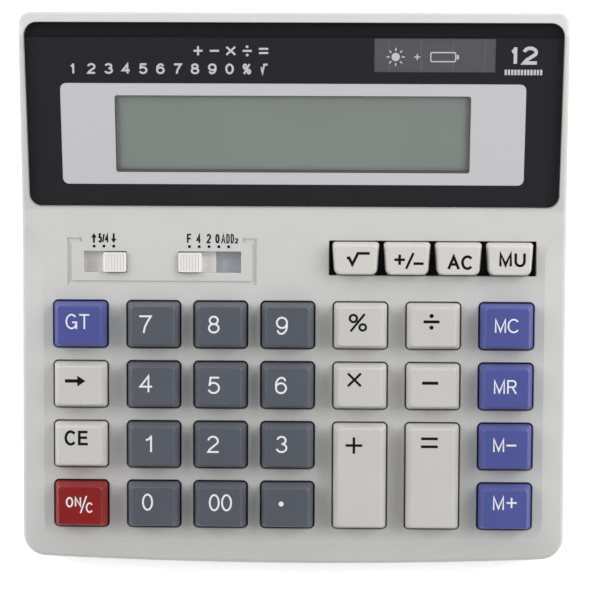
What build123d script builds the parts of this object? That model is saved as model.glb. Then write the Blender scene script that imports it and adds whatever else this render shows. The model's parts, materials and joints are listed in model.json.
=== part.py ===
from build123d import *
import os
from math import atan2, cos, radians, sin, sqrt, tan

# Desk calculator: a two-shell case with a sloping keypad, a steeper display panel, thirty keys on a
# rubber mat, two slide switches, a solar cell and one AA cell behind a door in the base.
# Millimetres. Origin at the middle of the footprint, on the desk; +X right, +Y to the display, +Z up.

# ---------------------------------------------------------------- driving dimensions: case
HALF_WIDTH = 76.8          # at the parting line, the widest level
HALF_LENGTH = 77.5
BOW_RADIUS = 1550.0        # front wall, seen from above
FRONT_CORNER = 6.5
BACK_CORNER = 4.3
DRAFT = 3.0                # degrees, every outside wall leans inwards away from the parting line
PARTING_Z = 7.0
BASE_Z = 0.8               # underside of the base, held off the desk by the feet
WALL = 2.2
FLOOR = 1.8
TOP_SKIN = 2.0             # keypad deck
EDGE_ROUND = 1.4           # top edge of the case
BASE_ROUND = 1.6
LIP_HEIGHT = 1.2           # tongue of the base inside the upper case
LIP_THICK = 1.0
FIT_GAP = 0.12

# ---------------------------------------------------------------- driving dimensions: keypad plane
KEYPAD_TILT = 5.0
KEYPAD_Y = -9.65           # middle of the first row of large keys, on the deck's surface
KEYPAD_Z = 17.2
ROW_PITCH = 17.0
COLUMNS = (-59.7, -39.15, -20.35, -1.5, 18.85, 39.25, 59.7)
DIGIT_COLUMNS = (1, 2, 3)
CAP_WIDTH = 14.8
DIGIT_CAP_WIDTH = 14.55
CAP_DEPTH = 12.8
CAP_RISE = 4.3             # top of a large cap above the deck
CAP_SLOPE_X = 1.25         # how much narrower the top is, each side
CAP_SLOPE_V = 0.95
CAP_CORNER = 1.0
CAP_WALL = 1.2
HOLE_GAP = 0.42            # cap to hole, each side
HOLE_BREAK = 0.14          # broken edge round each hole
FLANGE_LAP = 0.8           # how far a flange reaches past its hole
FLANGE_TOP = -2.1          # heights along the deck's normal, 0 on the surface
FLANGE_LOW = -3.1
PLUNGER_RADIUS = 2.0
PLUNGER_LOW = -3.9
DOME_TOP = -3.95
MAT_TOP = -6.0
BOARD_TOP = -6.9
BOARD_LOW = -8.1

# four small keys that share one opening
SMALL_X = (17.45, 31.75, 46.05, 60.35)
SMALL_V = 18.9
SMALL_WIDTH = 13.2
SMALL_FRONT_WIDTH = 11.9
SMALL_DEPTH = 9.1
SMALL_RISE = 3.2
SMALL_SLOPE_BACK = 0.75    # how much narrower the top is, each side, at the back and at the front
SMALL_SLOPE_FRONT = 0.45
SMALL_FRONT_CORNER = 1.7
SMALL_FLANGE_WIDTH = 11.0
SMALL_OPENING = (57.9, 9.8)

# sloping border round the keypad
BORDER_ANGLE = 12.0
BORDER_X = 70.3            # where the flat deck ends, left and right
BORDER_FRONT_V = -62.3
BORDER_CORNER = 4.5
FLARE_V = 17.5             # from here to the display the border narrows away in an arc
FLARE_RADIUS = 14.0
FLARE_TURN = 70.0          # degrees

# ---------------------------------------------------------------- driving dimensions: slide switches
SWITCH_V = 17.5
KNOB_LENGTH = 6.4
KNOB_DEPTH = 5.4
KNOB_RIDGE = 0.12          # depth of the grooves between the crown's ridges
KNOB_FOOT = 3.0
KNOB_RISE = 1.5
SLOT_DEPTH = 6.0
ROUND_SLOT = (-58.8, -46.7)      # three positions
DECIMAL_SLOT = (-32.3, -14.66)   # five positions
ROUND_SLIDER_HALF = 9.3          # half length of a knob's flange
DECIMAL_SLIDER_HALF = 7.2
SHUTTER_HALF = 14.9              # thin plate under the decimal knob's flange
SHUTTER = (-3.75, -3.45)
GROOVE_OUTER = (-63.4, -10.3, 11.1, 24.25)
GROOVE_WIDTH = 1.15
GROOVE_DEEP = 0.3
GROOVE_ENDS = (-59.3, -14.2)

# ---------------------------------------------------------------- driving dimensions: display plane
DISPLAY_TILT = 16.0
DISPLAY_Y = 23.15          # the lens's front edge
BACK_FALL = 14.0           # the strip behind the display slopes down by this angle
LIP_AHEAD = 0.8            # case in front of the lens
LENS_HALF = 73.9
LENS_BEND = 48.2           # from the lens's front edge to its bend, along the display plane
LENS_LENGTH = 51.4
LENS_THICK = 1.5
LENS_CORNER = 3.4
LENS_GAP = 0.15
DECK_LOW = -3.6            # underside of the ledge that the lens lies on
CREASE_ROUND = 2.0
BEND_ROUND = 3.0

WINDOW = (-0.3, 20.45, 100.2, 23.4)       # hole in the ledge: middle x, middle v, width, depth
LCD = (-0.3, 20.45, 106.0, 30.0)
LCD_TOP = -3.7
LCD_THICK = 2.2
SOLAR = (38.75, 42.65, 35.0, 10.6)
SOLAR_THICK = 1.1
HOLDER = (-0.3, 20.4, 112.0, 38.0)
HOLDER_LOW = -7.9
HOLDER_EAR_X = 60.0
HOLDER_EAR_V = (8.0, 33.0)

# ---------------------------------------------------------------- driving dimensions: power and fixings
CELL_Y = 58.0
CELL_Z = 10.0
CELL_RADIUS = 7.1
CELL_X = (-26.5, 22.0)     # can; the positive nub stands past it
DOOR = (-3.9, 58.0, 56.2, 17.0)    # opening in the floor: middle x, middle y, width, depth
DOOR_GAP = 0.2
SCREW_POINTS = ((-62.0, -70.8), (62.0, -70.8), (-71.0, 26.0), (71.0, 26.0), (-68.0, 71.2), (68.0, 71.2))
BOARD_SCREWS = ((-71.2, -42.5), (71.2, -42.5), (-71.2, -8.5), (71.2, -8.5), (-71.2, 20.0), (71.2, 20.0),
                (0.0, 20.0), (-49.4, -25.5), (8.6, -25.5), (49.45, -25.5))
FOOT_POINTS = ((-64.0, -61.0), (64.0, -61.0), (-60.0, 62.0), (60.0, 62.0))
FOOT_RADIUS = 4.5
FOOT_RECESS = 0.6

# ---------------------------------------------------------------- smaller dimensions
CAP_EDGE = 0.5             # rounding along a cap's top edges
FLANGE_CORNER = 1.5
RIB = 0.8
CASE_BOSS = 2.8
CASE_BOSS_LOW = 6.05
CASE_HEAD = 2.3
CASE_SEAT_Z = 4.0
CASE_SHANK = 1.25
CASE_SHANK_HIGH = 9.3
COLUMN_RADIUS = 3.5
BOARD_BOSS = 2.1
BOARD_HEAD = 1.8
BOARD_SHANK = 0.95
BOARD_SHANK_HIGH = -3.4
BOARD_HALF = 72.6
BOARD_V = (-58.2, 27.2)
MAT_HALF = 70.0
MAT_V = (-57.5, 24.2)
SLIDER_DEPTH = 7.0
RAIL_LENGTH = 58.0
RAIL_LOW = -3.4
KNOB_CROWN = 7.5           # radius of the crown along the switch
KNOB_SIDE_GAP = 0.12
WIPER_TOP = -4.65
HOLDER_FLOOR = -6.25
HOLDER_EAR_TOP = -6.3
HOLDER_SHANK_HIGH = -4.4
RIBBON_WIDTH = 58.0
RIBBON_N = -6.05
PARTING_GAP = 0.1
DOOR_THICK = 1.6
DOOR_HOOK_X = (-14.0, 8.0)
ARCH_X = (-21.0, 16.0)
ARCH_THICK = 2.0
ARCH_HALF = 10.5
ARCH_TOP = 18.4
END_WALL_X = (-32.8, 25.2)
END_WALL_THICK = 1.2
END_WALL_DEPTH = 15.0
END_WALL_TOP = 16.5
CONTACT_OUT = 0.85         # from the middle of an end wall to the middle of its contact strip
LEAD_RADIUS = 0.5
LEAD_X = (50.9, 52.2)
LEAD_V = 44.0
BLOB = (-25.0, 0.0)
CAPACITOR_X = (-12.0, 10.0)
CAPACITOR_V = 22.0
CAPACITOR_RADIUS = 2.5
RESISTOR_X = -60.0
RESISTOR_V = 12.0

KEYS = (                   # name, column, first row, last row
    ("gt", 0, 0, 0), ("backspace", 0, 1, 1), ("ce", 0, 2, 2), ("on_c", 0, 3, 3),
    ("7", 1, 0, 0), ("4", 1, 1, 1), ("1", 1, 2, 2), ("0", 1, 3, 3),
    ("8", 2, 0, 0), ("5", 2, 1, 1), ("2", 2, 2, 2), ("00", 2, 3, 3),
    ("9", 3, 0, 0), ("6", 3, 1, 1), ("3", 3, 2, 2), ("point", 3, 3, 3),
    ("percent", 4, 0, 0), ("multiply", 4, 1, 1), ("plus", 4, 2, 3),
    ("divide", 5, 0, 0), ("minus", 5, 1, 1), ("equals", 5, 2, 3),
    ("mc", 6, 0, 0), ("mr", 6, 1, 1), ("m_minus", 6, 2, 2), ("m_plus", 6, 3, 3),
)
SMALL_KEYS = ("root", "sign", "ac", "mu")

ROUND_X = ROUND_SLOT[1] - KNOB_LENGTH / 2 - KNOB_SIDE_GAP          # where the knobs rest
DECIMAL_X = DECIMAL_SLOT[0] + KNOB_LENGTH / 2 + KNOB_SIDE_GAP

# ---------------------------------------------------------------- planes and helpers
KEYPAD = Plane(origin=(0, KEYPAD_Y, KEYPAD_Z), x_dir=(1, 0, 0),
               z_dir=(0, -sin(radians(KEYPAD_TILT)), cos(radians(KEYPAD_TILT))))


def keypad_height(y):
    """Height of the deck's surface at y."""
    return KEYPAD_Z + (y - KEYPAD_Y) * tan(radians(KEYPAD_TILT))


CREASE_Y = DISPLAY_Y - LIP_AHEAD
CREASE_Z = keypad_height(CREASE_Y)
DISPLAY_Z = CREASE_Z + LIP_AHEAD * tan(radians(DISPLAY_TILT))
DISPLAY = Plane(origin=(0, DISPLAY_Y, DISPLAY_Z), x_dir=(1, 0, 0),
                z_dir=(0, -sin(radians(DISPLAY_TILT)), cos(radians(DISPLAY_TILT))))
BEND_Y = DISPLAY_Y + LENS_BEND * cos(radians(DISPLAY_TILT))
BEND_Z = DISPLAY_Z + LENS_BEND * sin(radians(DISPLAY_TILT))


def slab(plane, x, v, width, depth, low, high, corner=0.0):
    """A block on a plane, between two heights above it, with rounded corners if asked."""
    shape = RectangleRounded(width, depth, corner) if corner else Rectangle(width, depth)
    return extrude(plane.offset(low) * Pos(x, v) * shape, amount=high - low)


def rod(plane, x, v, radius, low, high):
    """A round bar standing on a plane, between two heights above it."""
    return extrude(plane.offset(low) * Pos(x, v) * Circle(radius), amount=high - low)


def hole_tool(plane, x, v, width, depth, corner, low):
    """Cutter for a hole with a broken top edge."""
    through = slab(plane, x, v, width, depth, low, 3.0, corner)
    mouth = plane.offset(-HOLE_BREAK) * Pos(x, v) * RectangleRounded(width, depth, corner)
    return through + extrude(mouth, amount=2 * HOLE_BREAK, taper=-45)


def bowed_front(half_width, front, corner, grow):
    """The bowed front edge with its rounded corners, and the point where the right side starts."""
    centre = front + BOW_RADIUS
    corner_x = half_width - corner
    corner_v = centre - sqrt((BOW_RADIUS - corner) ** 2 - corner_x ** 2)
    reach = atan2(corner_x, centre - corner_v)
    bow = BOW_RADIUS + grow
    radius = corner + grow
    side = half_width + grow
    left, right = [(s * sin(reach) * bow, centre - cos(reach) * bow) for s in (-1, 1)]
    middle = (radians(90) - reach) / 2
    knee = (corner_x + radius * cos(middle), corner_v - radius * sin(middle))
    edges = [
        ThreePointArc((-side, corner_v), (-knee[0], knee[1]), left),
        ThreePointArc(left, (0, centre - bow), right),
        ThreePointArc(right, knee, (side, corner_v)),
    ]
    return edges, (side, corner_v)


def case_outline(grow=0.0):
    """The case seen from above at its parting line, grown outwards evenly."""
    edges, (side, start) = bowed_front(HALF_WIDTH, -HALF_LENGTH, FRONT_CORNER, grow)
    far = HALF_LENGTH + grow
    edges += [
        Line((side, start), (side, far)),
        Line((side, far), (-side, far)),
        Line((-side, far), (-side, start)),
    ]
    face = make_face(Curve() + edges)
    return fillet(face.vertices().sort_by(Axis.Y)[-2:], BACK_CORNER + grow)


def crossing(point_a, angle_a, point_b, angle_b):
    """Where two lines in the side view meet; each has a point (y, z) and a rise in degrees."""
    run_a = (cos(radians(angle_a)), sin(radians(angle_a)))
    run_b = (cos(radians(angle_b)), sin(radians(angle_b)))
    det = run_a[0] * -run_b[1] + run_b[0] * run_a[1]
    dy, dz = point_b[0] - point_a[0], point_b[1] - point_a[1]
    along = (dy * -run_b[1] + run_b[0] * dz) / det
    return point_a[0] + along * run_a[0], point_a[1] + along * run_a[1]


def sunk(point, angle, depth):
    """A point moved straight into a sloping surface by depth."""
    return point[0] + depth * sin(radians(angle)), point[1] - depth * cos(radians(angle))


def round_corner(face, point, radius):
    """Round the corner of a flat face that lies at a point."""
    return fillet(face.vertices().sort_by_distance(point)[0], radius)


def top_prism(keypad_depth, display_depth, low):
    """Everything under the top surface, seen from the side, sunk by the given depths."""
    deck = sunk((KEYPAD_Y, KEYPAD_Z), KEYPAD_TILT, keypad_depth)
    screen = sunk((DISPLAY_Y, DISPLAY_Z), DISPLAY_TILT, display_depth)
    strip = sunk((BEND_Y, BEND_Z), -BACK_FALL, display_depth)
    crease = crossing(deck, KEYPAD_TILT, screen, DISPLAY_TILT)
    bend = crossing(screen, DISPLAY_TILT, strip, -BACK_FALL)
    reach = 100.0
    start = (-reach, deck[1] + (-reach - deck[0]) * tan(radians(KEYPAD_TILT)))
    end = (reach, strip[1] - (reach - strip[0]) * tan(radians(BACK_FALL)))
    face = make_face(Plane.YZ * Polyline(start, crease, bend, end, (reach, low), (-reach, low), close=True))
    face = round_corner(face, (0, *crease), CREASE_ROUND + display_depth)
    face = round_corner(face, (0, *bend), max(BEND_ROUND - display_depth, 0.4))
    return extrude(face, amount=reach, both=True)


def case_block(inset, keypad_depth, display_depth, low):
    """The upper case's outer form, or a smaller copy of it for its inside."""
    outline = case_outline(-inset)
    walls = extrude(Plane.XY.offset(PARTING_Z) * outline, amount=40, taper=DRAFT)
    if low < PARTING_Z:
        walls += extrude(Plane.XY.offset(low) * outline, amount=PARTING_Z - low)
    return walls & top_prism(keypad_depth, display_depth, low - 1)


def plateau_outline(grow):
    """Edge of the flat part of the keypad deck, grown outwards evenly."""
    edges, (side, start) = bowed_front(BORDER_X, BORDER_FRONT_V, BORDER_CORNER, grow)
    flare = FLARE_RADIUS - grow
    flare_x = BORDER_X + FLARE_RADIUS
    middle, end = [(flare_x - flare * cos(radians(turn)), FLARE_V + flare * sin(radians(turn)))
                   for turn in (FLARE_TURN / 2, FLARE_TURN)]
    far = 50.0
    edges += [
        Line((side, start), (side, FLARE_V)),
        ThreePointArc((side, FLARE_V), middle, end),
        Line(end, (end[0], far)),
        Line((end[0], far), (-end[0], far)),
        Line((-end[0], far), (-end[0], end[1])),
        ThreePointArc((-end[0], end[1]), (-middle[0], middle[1]), (-side, FLARE_V)),
        Line((-side, FLARE_V), (-side, start)),
    ]
    return make_face(Curve() + edges)


def border_cutter():
    """What is cut away so that the deck slopes down towards the case's edge."""
    high, low = 0.3, -1.7
    spread = 1 / tan(radians(BORDER_ANGLE))
    sections = [KEYPAD.offset(n) * plateau_outline(-n * spread) for n in (high, low)]
    plateau = loft(sections, ruled=True)
    end_v = FLARE_V + FLARE_RADIUS * sin(radians(FLARE_TURN))
    start_v = -90.0
    middle = (start_v + end_v) / 2
    return slab(KEYPAD, 0, middle, 200, end_v - start_v, low, high) - plateau


def rim_edges(block):
    """The edges where the outside walls meet the top surface."""
    found = []
    for face in block.faces():
        box = face.bounding_box()
        if box.min.Z < PARTING_Z + 0.01 and box.size.Z > 0.5:
            for edge in face.edges():
                known = any(edge.is_same(other) for other in found)
                if edge.bounding_box().min.Z > PARTING_Z + 0.5 and not known:
                    found.append(edge)
    return found


def lens_blank(grow, low, high):
    """The lens's outline as a straight block through the case."""
    width = 2 * (LENS_HALF + grow)
    depth = LENS_LENGTH + 2 * grow
    return slab(DISPLAY, 0, LENS_LENGTH / 2, width, depth, low, high, LENS_CORNER + grow)


def group(solids):
    """Several separate solids as one node."""
    return Compound(children=list(solids))


def band(plane, points, corner, thick, width):
    """A bent strip of sheet: its centre line on a plane, its width across it."""
    line = FilletPolyline(*points, radius=corner)
    return extrude(plane * trace(line, thick), amount=width / 2, both=True)


def pan_screw(plane, x, v, head_low, head_high, head_radius, shank_high, shank_radius):
    """A pan-head screw that goes in along the plane's normal, with a cross recess under its head."""
    head = rod(plane, x, v, head_radius, head_low, head_high)
    low_face = head.faces().sort_by(Axis(plane.origin, plane.z_dir))[0]
    head = fillet(low_face.edges(), 0.4 * (head_high - head_low))
    for width, depth in ((head_radius * 1.2, 0.5), (0.5, head_radius * 1.2)):
        head -= slab(plane, x, v, width, depth, head_low - 0.1, head_low + 0.55 * (head_high - head_low))
    return head + rod(plane, x, v, shank_radius, head_high - 0.1, shank_high)


# ---------------------------------------------------------------- keys
def row_v(first, last):
    """Middle of a key that covers these rows, along the deck."""
    return -ROW_PITCH * (first + last) / 2


def key_size(column, first, last):
    """Width and depth of a large key's cap at its base."""
    width = DIGIT_CAP_WIDTH if column in DIGIT_COLUMNS else CAP_WIDTH
    return width, CAP_DEPTH + ROW_PITCH * (last - first)


def dome_points():
    """Where the mat has a dome: under each plunger."""
    points = [(COLUMNS[c], -ROW_PITCH * row) for _, c, first, last in KEYS for row in range(first, last + 1)]
    return points + [(x, SMALL_V) for x in SMALL_X]


def tapered(plane, lower, upper, low, high):
    """A block that goes straight from one outline to another."""
    return loft([plane.offset(low) * lower, plane.offset(high) * upper], ruled=True)


def slanted_edges(block):
    """The edges that climb a cap, from its front to its back."""
    climbing = [edge for edge in block.edges() if abs((edge % 0.5).dot(KEYPAD.z_dir)) > 0.5]
    return sorted(climbing, key=lambda edge: KEYPAD.to_local_coords(edge.center()).Y)


def frustum(place, base, top, low, high, front_corner):
    """Cap form between two four-sided outlines, with its slanted corners and its top edge rounded."""
    block = tapered(KEYPAD, place * base, place * top, low, high)
    block = fillet(slanted_edges(block)[:2], front_corner)
    block = fillet(slanted_edges(block)[-2:], CAP_CORNER)
    return fillet(block.faces().sort_by(Axis(KEYPAD.origin, KEYPAD.z_dir))[-1].edges(), CAP_EDGE)


def skirt(block, depth):
    """The straight part below a cap form, with the outline that the form ends in."""
    underside = block.faces().sort_by(Axis(KEYPAD.origin, KEYPAD.z_dir))[0]
    return extrude(underside, amount=depth)


def large_key(x, column, first, last):
    """A hollow cap with sloping sides, its flange, and a plunger for each row that it covers."""
    v = row_v(first, last)
    width, depth = key_size(column, first, last)
    shoulder = 0.4
    place = Pos(x, v)
    base = Rectangle(width, depth)
    top = Rectangle(width - 2 * CAP_SLOPE_X, depth - 2 * CAP_SLOPE_V)
    body = frustum(place, base, top, shoulder, CAP_RISE, CAP_CORNER)
    body += skirt(body, shoulder - FLANGE_LOW)
    lap = 2 * (HOLE_GAP + FLANGE_LAP)
    body += slab(KEYPAD, x, v, width + lap, depth + lap, FLANGE_LOW, FLANGE_TOP, FLANGE_CORNER)
    hollow_width, hollow_depth = width - 2 * CAP_WALL, depth - 2 * CAP_WALL
    ceiling = CAP_RISE - CAP_WALL
    hollow_low = Rectangle(hollow_width, hollow_depth)
    hollow_top = Rectangle(hollow_width - 2 * CAP_SLOPE_X, hollow_depth - 2 * CAP_SLOPE_V)
    body -= slab(KEYPAD, x, v, hollow_width, hollow_depth, FLANGE_LOW - 1, shoulder)
    body -= tapered(KEYPAD, place * hollow_low, place * hollow_top, shoulder, ceiling)
    rib_low = FLANGE_LOW + 0.6
    body += slab(KEYPAD, x, v, width - CAP_WALL, RIB, rib_low, shoulder)
    body += slab(KEYPAD, x, v, RIB, depth - CAP_WALL, rib_low, shoulder)
    for row in range(first, last + 1):
        body += rod(KEYPAD, x, -ROW_PITCH * row, PLUNGER_RADIUS, PLUNGER_LOW, ceiling + 0.2)
    return body


def trapezium(back_width, front_width, depth):
    """Outline of a small cap: narrower at the front."""
    half = depth / 2
    return make_face(Polyline((-front_width / 2, -half), (front_width / 2, -half), (back_width / 2, half),
                              (-back_width / 2, half), close=True))


def small_key(x):
    """One of the four small keys, with the same flange heights and plunger as the large ones."""
    v = SMALL_V
    shoulder = 0.2
    base = trapezium(SMALL_WIDTH, SMALL_FRONT_WIDTH, SMALL_DEPTH)
    top_back = SMALL_WIDTH - 2 * SMALL_SLOPE_BACK
    top_front = SMALL_FRONT_WIDTH - 2 * SMALL_SLOPE_FRONT
    top = Pos(0, -0.3) * trapezium(top_back, top_front, SMALL_DEPTH - 1.0)
    place = Pos(x, v)
    body = frustum(place, base, top, shoulder, SMALL_RISE, SMALL_FRONT_CORNER)
    body += skirt(body, shoulder - FLANGE_LOW)
    flange_depth = SMALL_DEPTH + 2 * (HOLE_GAP + FLANGE_LAP)
    body += slab(KEYPAD, x, v, SMALL_FLANGE_WIDTH, flange_depth, FLANGE_LOW, FLANGE_TOP, FLANGE_CORNER)
    hollow_width = SMALL_FRONT_WIDTH - 3.4
    hollow_depth = SMALL_DEPTH - 3.4
    ceiling = SMALL_RISE - CAP_WALL
    body -= slab(KEYPAD, x, v, hollow_width, hollow_depth, FLANGE_LOW - 1, ceiling, 0.5)
    body += slab(KEYPAD, x, v, hollow_width + 1, RIB, FLANGE_LOW + 0.6, ceiling + 0.2)
    return body + rod(KEYPAD, x, v, PLUNGER_RADIUS, PLUNGER_LOW, ceiling + 0.2)


# ---------------------------------------------------------------- case
def upper_case():
    """The top shell: keypad deck, ledge for the lens, walls, guide rails and screw bosses."""
    shell = case_block(0, 0, 0, PARTING_Z) - border_cutter()
    shell = fillet(rim_edges(shell), EDGE_ROUND)
    shell -= case_block(WALL, TOP_SKIN, -DECK_LOW, PARTING_Z - 1)
    recess = case_outline(LIP_THICK + FIT_GAP - WALL)
    shell -= extrude(Plane.XY.offset(PARTING_Z - 1) * recess, amount=1 + LIP_HEIGHT + FIT_GAP)

    for x, y in SCREW_POINTS:
        shell += rod(Plane.XY, x, y, CASE_BOSS, CASE_BOSS_LOW, PARTING_Z + 40) & case_block(
            1.0, 1.0, 1.0, CASE_BOSS_LOW - 1)
    for x, v in BOARD_SCREWS:
        shell += rod(KEYPAD, x, v, BOARD_BOSS, BOARD_TOP, 0.5 - TOP_SKIN)
    for x in (-HOLDER_EAR_X, HOLDER_EAR_X):
        for v in HOLDER_EAR_V:
            shell += rod(DISPLAY, x, v, BOARD_BOSS, HOLDER_EAR_TOP + 0.05, DECK_LOW + 0.5)
    rail_middle = (ROUND_SLOT[0] + DECIMAL_SLOT[1]) / 2
    for side in (-1, 1):
        v = SWITCH_V + side * (SLIDER_DEPTH / 2 + 0.55)
        shell += slab(KEYPAD, rail_middle, v, RAIL_LENGTH, 0.8, RAIL_LOW, 0.5 - TOP_SKIN)

    pocket = LENS_THICK + 0.05
    shell -= lens_blank(LENS_GAP, -5, 6) - top_prism(pocket, pocket, 0)
    shell -= slab(DISPLAY, *WINDOW, -6, 0, 1.0)
    x, v, width, depth = SOLAR
    shell -= slab(DISPLAY, x, v, width + 0.4, depth + 0.4, -pocket - SOLAR_THICK - 0.1, 0)
    shell -= slab(DISPLAY, LEAD_X[0] / 2 + LEAD_X[1] / 2, LEAD_V, 3.6, 2.4, -6, 0)

    for _, column, first, last in KEYS:
        width, depth = key_size(column, first, last)
        shell -= hole_tool(KEYPAD, COLUMNS[column], row_v(first, last), width + 2 * HOLE_GAP,
                           depth + 2 * HOLE_GAP, CAP_CORNER + HOLE_GAP, -TOP_SKIN - 0.5)
    small_x = sum(SMALL_X) / len(SMALL_X)
    shell -= hole_tool(KEYPAD, small_x, SMALL_V, *SMALL_OPENING, 0.4, -TOP_SKIN - 0.5)
    for left, right in (ROUND_SLOT, DECIMAL_SLOT):
        middle = (left + right) / 2
        shell -= hole_tool(KEYPAD, middle, SWITCH_V, right - left, SLOT_DEPTH, 0.3, -TOP_SKIN - 0.5)
    shell -= groove()

    for x, y in SCREW_POINTS:
        shell -= rod(Plane.XY, x, y, CASE_SHANK + FIT_GAP / 4, CASE_BOSS_LOW - 1, CASE_SHANK_HIGH + 0.2)
    for x, v in BOARD_SCREWS:
        shell -= rod(KEYPAD, x, v, BOARD_SHANK + FIT_GAP / 4, BOARD_TOP - 1, BOARD_SHANK_HIGH + 0.2)
    for x in (-HOLDER_EAR_X, HOLDER_EAR_X):
        for v in HOLDER_EAR_V:
            pilot = BOARD_SHANK + FIT_GAP / 4
            shell -= rod(DISPLAY, x, v, pilot, HOLDER_EAR_TOP - 1, HOLDER_SHANK_HIGH + 0.1)
    return shell


def groove():
    """Shallow groove that frames the two switches, open at the top in the middle."""
    left, right, front, back = GROOVE_OUTER
    middle_x, middle_v = (left + right) / 2, (front + back) / 2
    width, depth = right - left, back - front
    outer = slab(KEYPAD, middle_x, middle_v, width, depth, -GROOVE_DEEP, 1)
    width, depth = width - 2 * GROOVE_WIDTH, depth - 2 * GROOVE_WIDTH
    inner = slab(KEYPAD, middle_x, middle_v, width, depth, -GROOVE_DEEP - 1, 2)
    start, end = GROOVE_ENDS
    gap = slab(KEYPAD, (start + end) / 2, back, end - start, 3 * GROOVE_WIDTH, -GROOVE_DEEP - 1, 2)
    return outer - inner - gap


def lower_case():
    """The base tray: floor, walls with a lip, screw columns, battery cradle and door opening."""
    top = PARTING_Z - PARTING_GAP
    floor_top = BASE_Z + FLOOR
    tray = extrude(Plane.XY.offset(top) * case_outline(), amount=BASE_Z - top, taper=DRAFT)
    tray = fillet(tray.faces().sort_by(Axis.Z)[0].edges(), BASE_ROUND)
    tray -= extrude(Plane.XY.offset(floor_top) * case_outline(-WALL), amount=20)
    lip = case_outline(LIP_THICK - WALL) - case_outline(-WALL)
    tray += extrude(Plane.XY.offset(top - 0.5) * lip, amount=0.5 + PARTING_GAP + LIP_HEIGHT)

    for x, y in SCREW_POINTS:
        tray += rod(Plane.XY, x, y, COLUMN_RADIUS, floor_top - 0.5, CASE_BOSS_LOW - 0.05) & extrude(
            Plane.XY * case_outline(-1), amount=20)

    for x in ARCH_X:
        arch = slab(Plane.XY, x, CELL_Y, ARCH_THICK, 2 * ARCH_HALF, floor_top - 0.3, ARCH_TOP)
        bore = Plane(origin=(x, CELL_Y, CELL_Z), x_dir=(0, 1, 0), z_dir=(1, 0, 0))
        arch -= extrude(bore * Circle(CELL_RADIUS + 0.3), amount=ARCH_THICK, both=True)
        arch -= slab(Plane.XY, x, CELL_Y, 2 * ARCH_THICK, 2 * CELL_RADIUS + 0.6, 0, CELL_Z)
        tray += arch
    for x in END_WALL_X:
        tray += slab(Plane.XY, x, CELL_Y, END_WALL_THICK, END_WALL_DEPTH, floor_top - 0.3, END_WALL_TOP)
    tray -= slab(Plane.XY, *DOOR, 0, floor_top + 0.3, 1.0)

    for x, y in SCREW_POINTS:
        tray -= rod(Plane.XY, x, y, CASE_HEAD + 0.4, 0, CASE_SEAT_Z)
        tray -= rod(Plane.XY, x, y, CASE_SHANK + 0.25, 0, CASE_BOSS_LOW + 1)
    for x, y in FOOT_POINTS:
        tray -= rod(Plane.XY, x, y, FOOT_RADIUS + 0.1, 0, BASE_Z + FOOT_RECESS)
    return tray


def battery_door():
    """The cover in the floor: two hooks along its front edge, a latch tongue and finger ridges."""
    door_x, door_y, door_width, door_depth = DOOR
    width, depth = door_width - 2 * DOOR_GAP, door_depth - 2 * DOOR_GAP
    front, back = door_y - depth / 2, door_y + depth / 2
    door = slab(Plane.XY, door_x, door_y, width, depth, BASE_Z, BASE_Z + DOOR_THICK, 0.8)
    inside = BASE_Z + DOOR_THICK
    hook_low = BASE_Z + FLOOR + 0.05
    for x in DOOR_HOOK_X:
        door += slab(Plane.XY, x, front + 0.9, 8, 1.2, inside - 0.2, hook_low + 1)
        door += slab(Plane.XY, x, front - 0.3, 8, 3.6, hook_low, hook_low + 1)
        door += slab(Plane.XY, x, CELL_Y, 1.2, 10, inside - 0.2, CELL_Z - CELL_RADIUS - 0.1)
    door += slab(Plane.XY, door_x, back - 0.4, 12, 0.8, inside - 0.2, inside + 1)
    door -= slab(Plane.XY, door_x, back - 3.5, 16, 5, BASE_Z - 1, BASE_Z + 0.5, 0.8)
    for step in range(4):
        door += slab(Plane.XY, door_x, back - 5.2 + 1.15 * step, 12, 0.5, BASE_Z + 0.1, BASE_Z + 0.7)
    return door


# ---------------------------------------------------------------- display
def display_lens():
    """The clear panel, bent down along its back edge."""
    return lens_blank(0, -5, 6) & (top_prism(0, 0, 0) - top_prism(LENS_THICK, LENS_THICK, 1))


def lcd_holder():
    """The frame that presses the display glass up against the ledge."""
    x, v, width, depth = HOLDER
    top = LCD_TOP
    frame = slab(DISPLAY, x, v, width, depth, HOLDER_LOW, top, 1.0)
    for side in (-1, 1):
        for ear_v in HOLDER_EAR_V:
            ear_x = side * (HOLDER_EAR_X - 0.5)
            frame += slab(DISPLAY, ear_x, ear_v, 10, 8, HOLDER_LOW, HOLDER_EAR_TOP, 1.5)
    glass_x, glass_v, glass_width, glass_depth = LCD
    frame -= slab(DISPLAY, glass_x, glass_v, glass_width + 0.5, glass_depth + 0.5, HOLDER_FLOOR, 0)
    frame -= slab(DISPLAY, glass_x, glass_v + 1, 90, 17, HOLDER_LOW - 1, 0, 2.0)
    notch_v = glass_v - glass_depth / 2 - 1.5
    frame -= slab(DISPLAY, glass_x, notch_v, RIBBON_WIDTH + 4, 7.5, HOLDER_LOW - 1, 0)
    for side in (-1, 1):
        for ear_v in HOLDER_EAR_V:
            frame -= rod(DISPLAY, side * HOLDER_EAR_X, ear_v, BOARD_SHANK + 0.25, HOLDER_LOW - 1, 0)
    return frame


def on_side(plane, v, n):
    """A point of a sloping plane as (y, z) in the side view."""
    point = plane.from_local_coords((0, v, n))
    return point.Y, point.Z


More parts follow.
